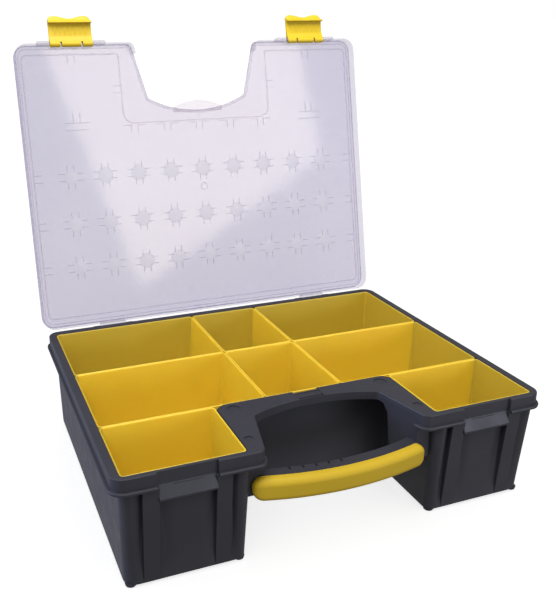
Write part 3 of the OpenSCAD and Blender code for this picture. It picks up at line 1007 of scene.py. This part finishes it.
def make_lid():
    """The lid, swung open. Faces 0 are the panel, 1 its domes, 2 the ribs and 3 the walls."""
    lid = make("clear_lid", [slab([lid_path()], PANEL_Z, LID_TOP, 0.9, 3)], 40, OPEN_LID)
    centres = [(STAR_PITCH * column, y) for column in range(-4, 5) for y in STAR_ROWS]
    combine(lid, "UNION", [star(x, y) for x, y in centres], 40, OPEN_LID)
    closed = OPEN_LID.inverted()
    for face in lid.data.polygons:
        at = closed @ (face.center / MM)
        near = min(math.hypot(at.x - x, at.y - y) for x, y in centres)
        face.material_index = int(near < STAR_R and at.z < PANEL_Z - 0.002)
    ribs = [gate_mark()] + frame_ribs() + short_ribs()
    for x, y in centres:
        ribs += star_ribs(x, y)
    walls = [finger_tab()] + skirts() + lid_knuckles() + latch_carrier(-1) + latch_carrier(1)
    pieces = [make("ribs", ribs, 40, OPEN_LID), make("walls", walls, 40, OPEN_LID)]
    for index, piece in enumerate(pieces, 2):
        for face in piece.data.polygons:
            face.material_index = index
    return join(lid, pieces)


place(make_lid(), "lid", "lid", "lid_plastic", LID_PLASTIC, LID_FROSTED, LID_THIN, LID_EDGE_WALL)


# ---- latches ----

def latch_section(tip):
    """The plate's outline from the side, as (y, z), hanging from its pivot. Its lip ends at -tip."""
    hook = LATCH_HOOK
    lip_top = hook + 3.4
    stretch = (tip - lip_top) / (LATCH_L - lip_top)

    def lip(z):
        return -lip_top - (z - lip_top) * stretch

    inner_face = [(-0.9, -1.8), (2.2, -2.4), (1.0, -6.5), (-0.85, -10), (-0.8, -hook)]
    catch = [(4.2, -hook), (4.6, -hook - 0.4), (4.4, -hook - 1.4), (0.2, -hook - 3.0)]
    free_edge = [(-0.9, lip(26.6)), (-1.5, lip(29)), (-2.6, lip(30.7)), (-3.4, lip(31)),
                 (-4.6, lip(30.4)), (-4.9, lip(29.6)), (-3.6, lip(27))]
    outer_face = [(-3.2, -hook), (-3.2, -1.8)]
    return inner_face + catch + free_edge + outer_face


def latch_plate():
    """The plate across its width: its free edge is scooped in the middle, with rounded ears."""
    steps = 48
    ear_r = 5
    taper = 0.03
    rings = []
    for k in range(steps + 1):
        t = -math.cos(math.pi * k / steps)
        x = t * LATCH_W / 2
        from_side = LATCH_W / 2 - abs(x)
        ear = ear_r - math.sqrt(max(ear_r ** 2 - max(ear_r - from_side, 0) ** 2, 0))
        scoop = 2.8 * (1 - smooth(0, 16.5, abs(x)))
        section = latch_section(LATCH_L - scoop - ear)
        rings.append([(x * (1 - taper * smooth(LATCH_HOOK, LATCH_L, -z)), y, z) for y, z in section])
    return loft(rings)


def clip(x0, x1):
    """C-shaped clip that grips the lid's round bar, open at the back."""
    start = math.radians(155)
    end = math.radians(455)
    outer = arc((0, 0), 3.2, start, end, 26)
    inner = arc((0, 0), 1.7, end, start, 26)
    return across(slab([outer + inner], 0, x1 - x0, 0.15, 1), x0)


def grip_ridge(x):
    """Upright ridge on the plate's outer face, for a fingernail."""
    half = 1.0
    outline = rounded_box((x - half, -19.5), (x + half, -5.5), 0.6, 3)
    points, faces = slab([outline], 0, 0.8, 0.25)
    return [(x, z - 1.0, y) for x, y, z in points], faces


def make_latch(side):
    """One latch, folded back on the open lid."""
    half = LATCH_W / 2
    solids = [latch_plate(), clip(-half, -12.8), clip(-10.8, 10.8), clip(12.8, half)]
    solids += [grip_ridge(5.6 * k) for k in range(-3, 4)]
    pivot = Matrix.Translation((side * LATCH_X, PIVOT_Y, PIVOT_Z))
    folded = pivot @ Matrix.Rotation(-LATCH_SWING, 4, "X")
    return make("snap_left" if side < 0 else "snap_right", solids, 40, OPEN_LID @ folded)


for side, node in ((-1, "latch_left"), (1, "latch_right")):
    place(make_latch(side), node, node, "latch_plastic", LATCH_PLASTIC)


# ---- floor, light and camera ----

def backdrop():
    """A wide pale floor, in metres. It glows a little, so that it comes out nearly white."""
    half = 30.0
    corners = [(-half, -half, 0), (half, -half, 0), (half, half, 0), (-half, half, 0)]
    mesh = bpy.data.meshes.new("floor")
    mesh.from_pydata(corners, [], [(0, 1, 2, 3)])
    floor = bpy.data.objects.new("floor", mesh)
    bpy.context.scene.collection.objects.link(floor)
    n = Nodes("floor_paper")
    dark = (0.93, 0.93, 0.93)
    light = (0.95, 0.95, 0.95)
    n.feed(n.shader.inputs["Base Color"], n.ramp(n.noise(scale=3.0), (0.3, dark), (0.7, light)))
    n.shader.inputs["Roughness"].default_value = 0.95
    n.shader.inputs["Specular IOR Level"].default_value = 0.0
    n.shader.inputs["Emission Color"].default_value = (1, 1, 1, 1)
    n.shader.inputs["Emission Strength"].default_value = 0.74
    mesh.materials.append(n.material)
    floor.visible_diffuse = False
    floor.visible_glossy = False


def softbox(name, place_at, aim, size, power, roll=0.0, colour=(1, 1, 1)):
    """A rectangular light in metres and watts, aimed at a point."""
    light = bpy.data.lights.new(name, "AREA")
    light.shape = "RECTANGLE"
    light.size, light.size_y = size
    light.energy = power
    light.color = colour
    obj = bpy.data.objects.new(name, light)
    obj.location = place_at
    turn = (Vector(aim) - Vector(place_at)).to_track_quat("-Z", "Y").to_matrix()
    obj.rotation_euler = (turn @ Matrix.Rotation(math.radians(roll), 3, "Z")).to_euler()
    bpy.context.scene.collection.objects.link(obj)
    return obj


def studio_world():
    """White behind the object, and a softer white as the light that falls on it."""
    world = bpy.data.worlds.new("studio")
    world.use_nodes = True
    tree = world.node_tree
    ground = tree.nodes["Background"]
    ground.inputs["Color"].default_value = (1.0, 1.0, 1.0, 1.0)
    seen = tree.nodes.new("ShaderNodeLightPath").outputs["Is Camera Ray"]
    level = tree.nodes.new("ShaderNodeMapRange")
    level.inputs["To Min"].default_value = 0.42
    level.inputs["To Max"].default_value = 1.0
    tree.links.new(seen, level.inputs["Value"])
    tree.links.new(level.outputs["Result"], ground.inputs["Strength"])
    bpy.context.scene.world = world


def receivers(light, names, state):
    """Limits a light to the named objects, or keeps it off them."""
    group = bpy.data.collections.new(light.name + "_receivers")
    for name in names:
        group.objects.link(bpy.data.objects[name])
    for entry in group.collection_objects:
        entry.light_linking.link_state = state
    light.light_linking.receiver_collection = group


def lights():
    """Soft studio light, a bluish light on the tray's side, and the glare on the lid."""
    middle = (0, 0, 0.1)
    blue = (0.45, 0.55, 1.0)
    cool = (0.82, 0.85, 1.0)
    warm = (1.0, 0.90, 0.76)
    top = softbox("top", (-0.3, -0.5, 1.8), middle, (1.5, 1.5), power=60)
    left = softbox("left", (-1.8, 0.1, 0.9), middle, (1.2, 1.4), power=12)
    side = softbox("side", (-1.8, 0.35, 0.45), middle, (0.8, 0.8), power=46, colour=blue)
    front = softbox("front", (0.9, -1.7, 0.2), middle, (0.8, 0.8), power=22, colour=cool)
    sheen = softbox("sheen", (0.526, -1.155, 0.883), (0.852, -0.338, 0.408), (0.90, 1.022),
                    power=12.4, roll=32.2, colour=warm)
    receivers(top, ["clear_lid", "floor"], "EXCLUDE")
    receivers(left, ["floor"], "EXCLUDE")
    receivers(front, ["clear_lid", "floor"], "EXCLUDE")
    receivers(side, ["tray"], "INCLUDE")
    receivers(sheen, ["clear_lid"], "INCLUDE")
    studio_world()


def camera():
    """Looks down at the front from the left, with small shifts. Places are in metres."""
    lens = bpy.data.cameras.new("camera")
    lens.sensor_width = 36
    lens.lens = 45.64
    lens.shift_x = 0.1113
    lens.shift_y = -0.0327
    lens.clip_end = 50
    obj = bpy.data.objects.new("camera", lens)
    around = math.radians(-20.31)
    above = math.radians(19.39)
    roll = math.radians(-0.18)
    back = Vector((math.sin(around) * math.cos(above), -math.cos(around) * math.cos(above),
                   math.sin(above)))
    right = Vector((math.cos(around), math.sin(around), 0))
    up = back.cross(right)
    turn = Matrix((right, up, back)).transposed() @ Matrix.Rotation(roll, 3, "Z")
    obj.matrix_world = Matrix.Translation((-0.30861, -0.64711, 0.44766)) @ turn.to_4x4()
    bpy.context.scene.collection.objects.link(obj)
    bpy.context.scene.camera = obj


backdrop()
lights()
camera()
bpy.context.scene.view_settings.view_transform = "Standard"
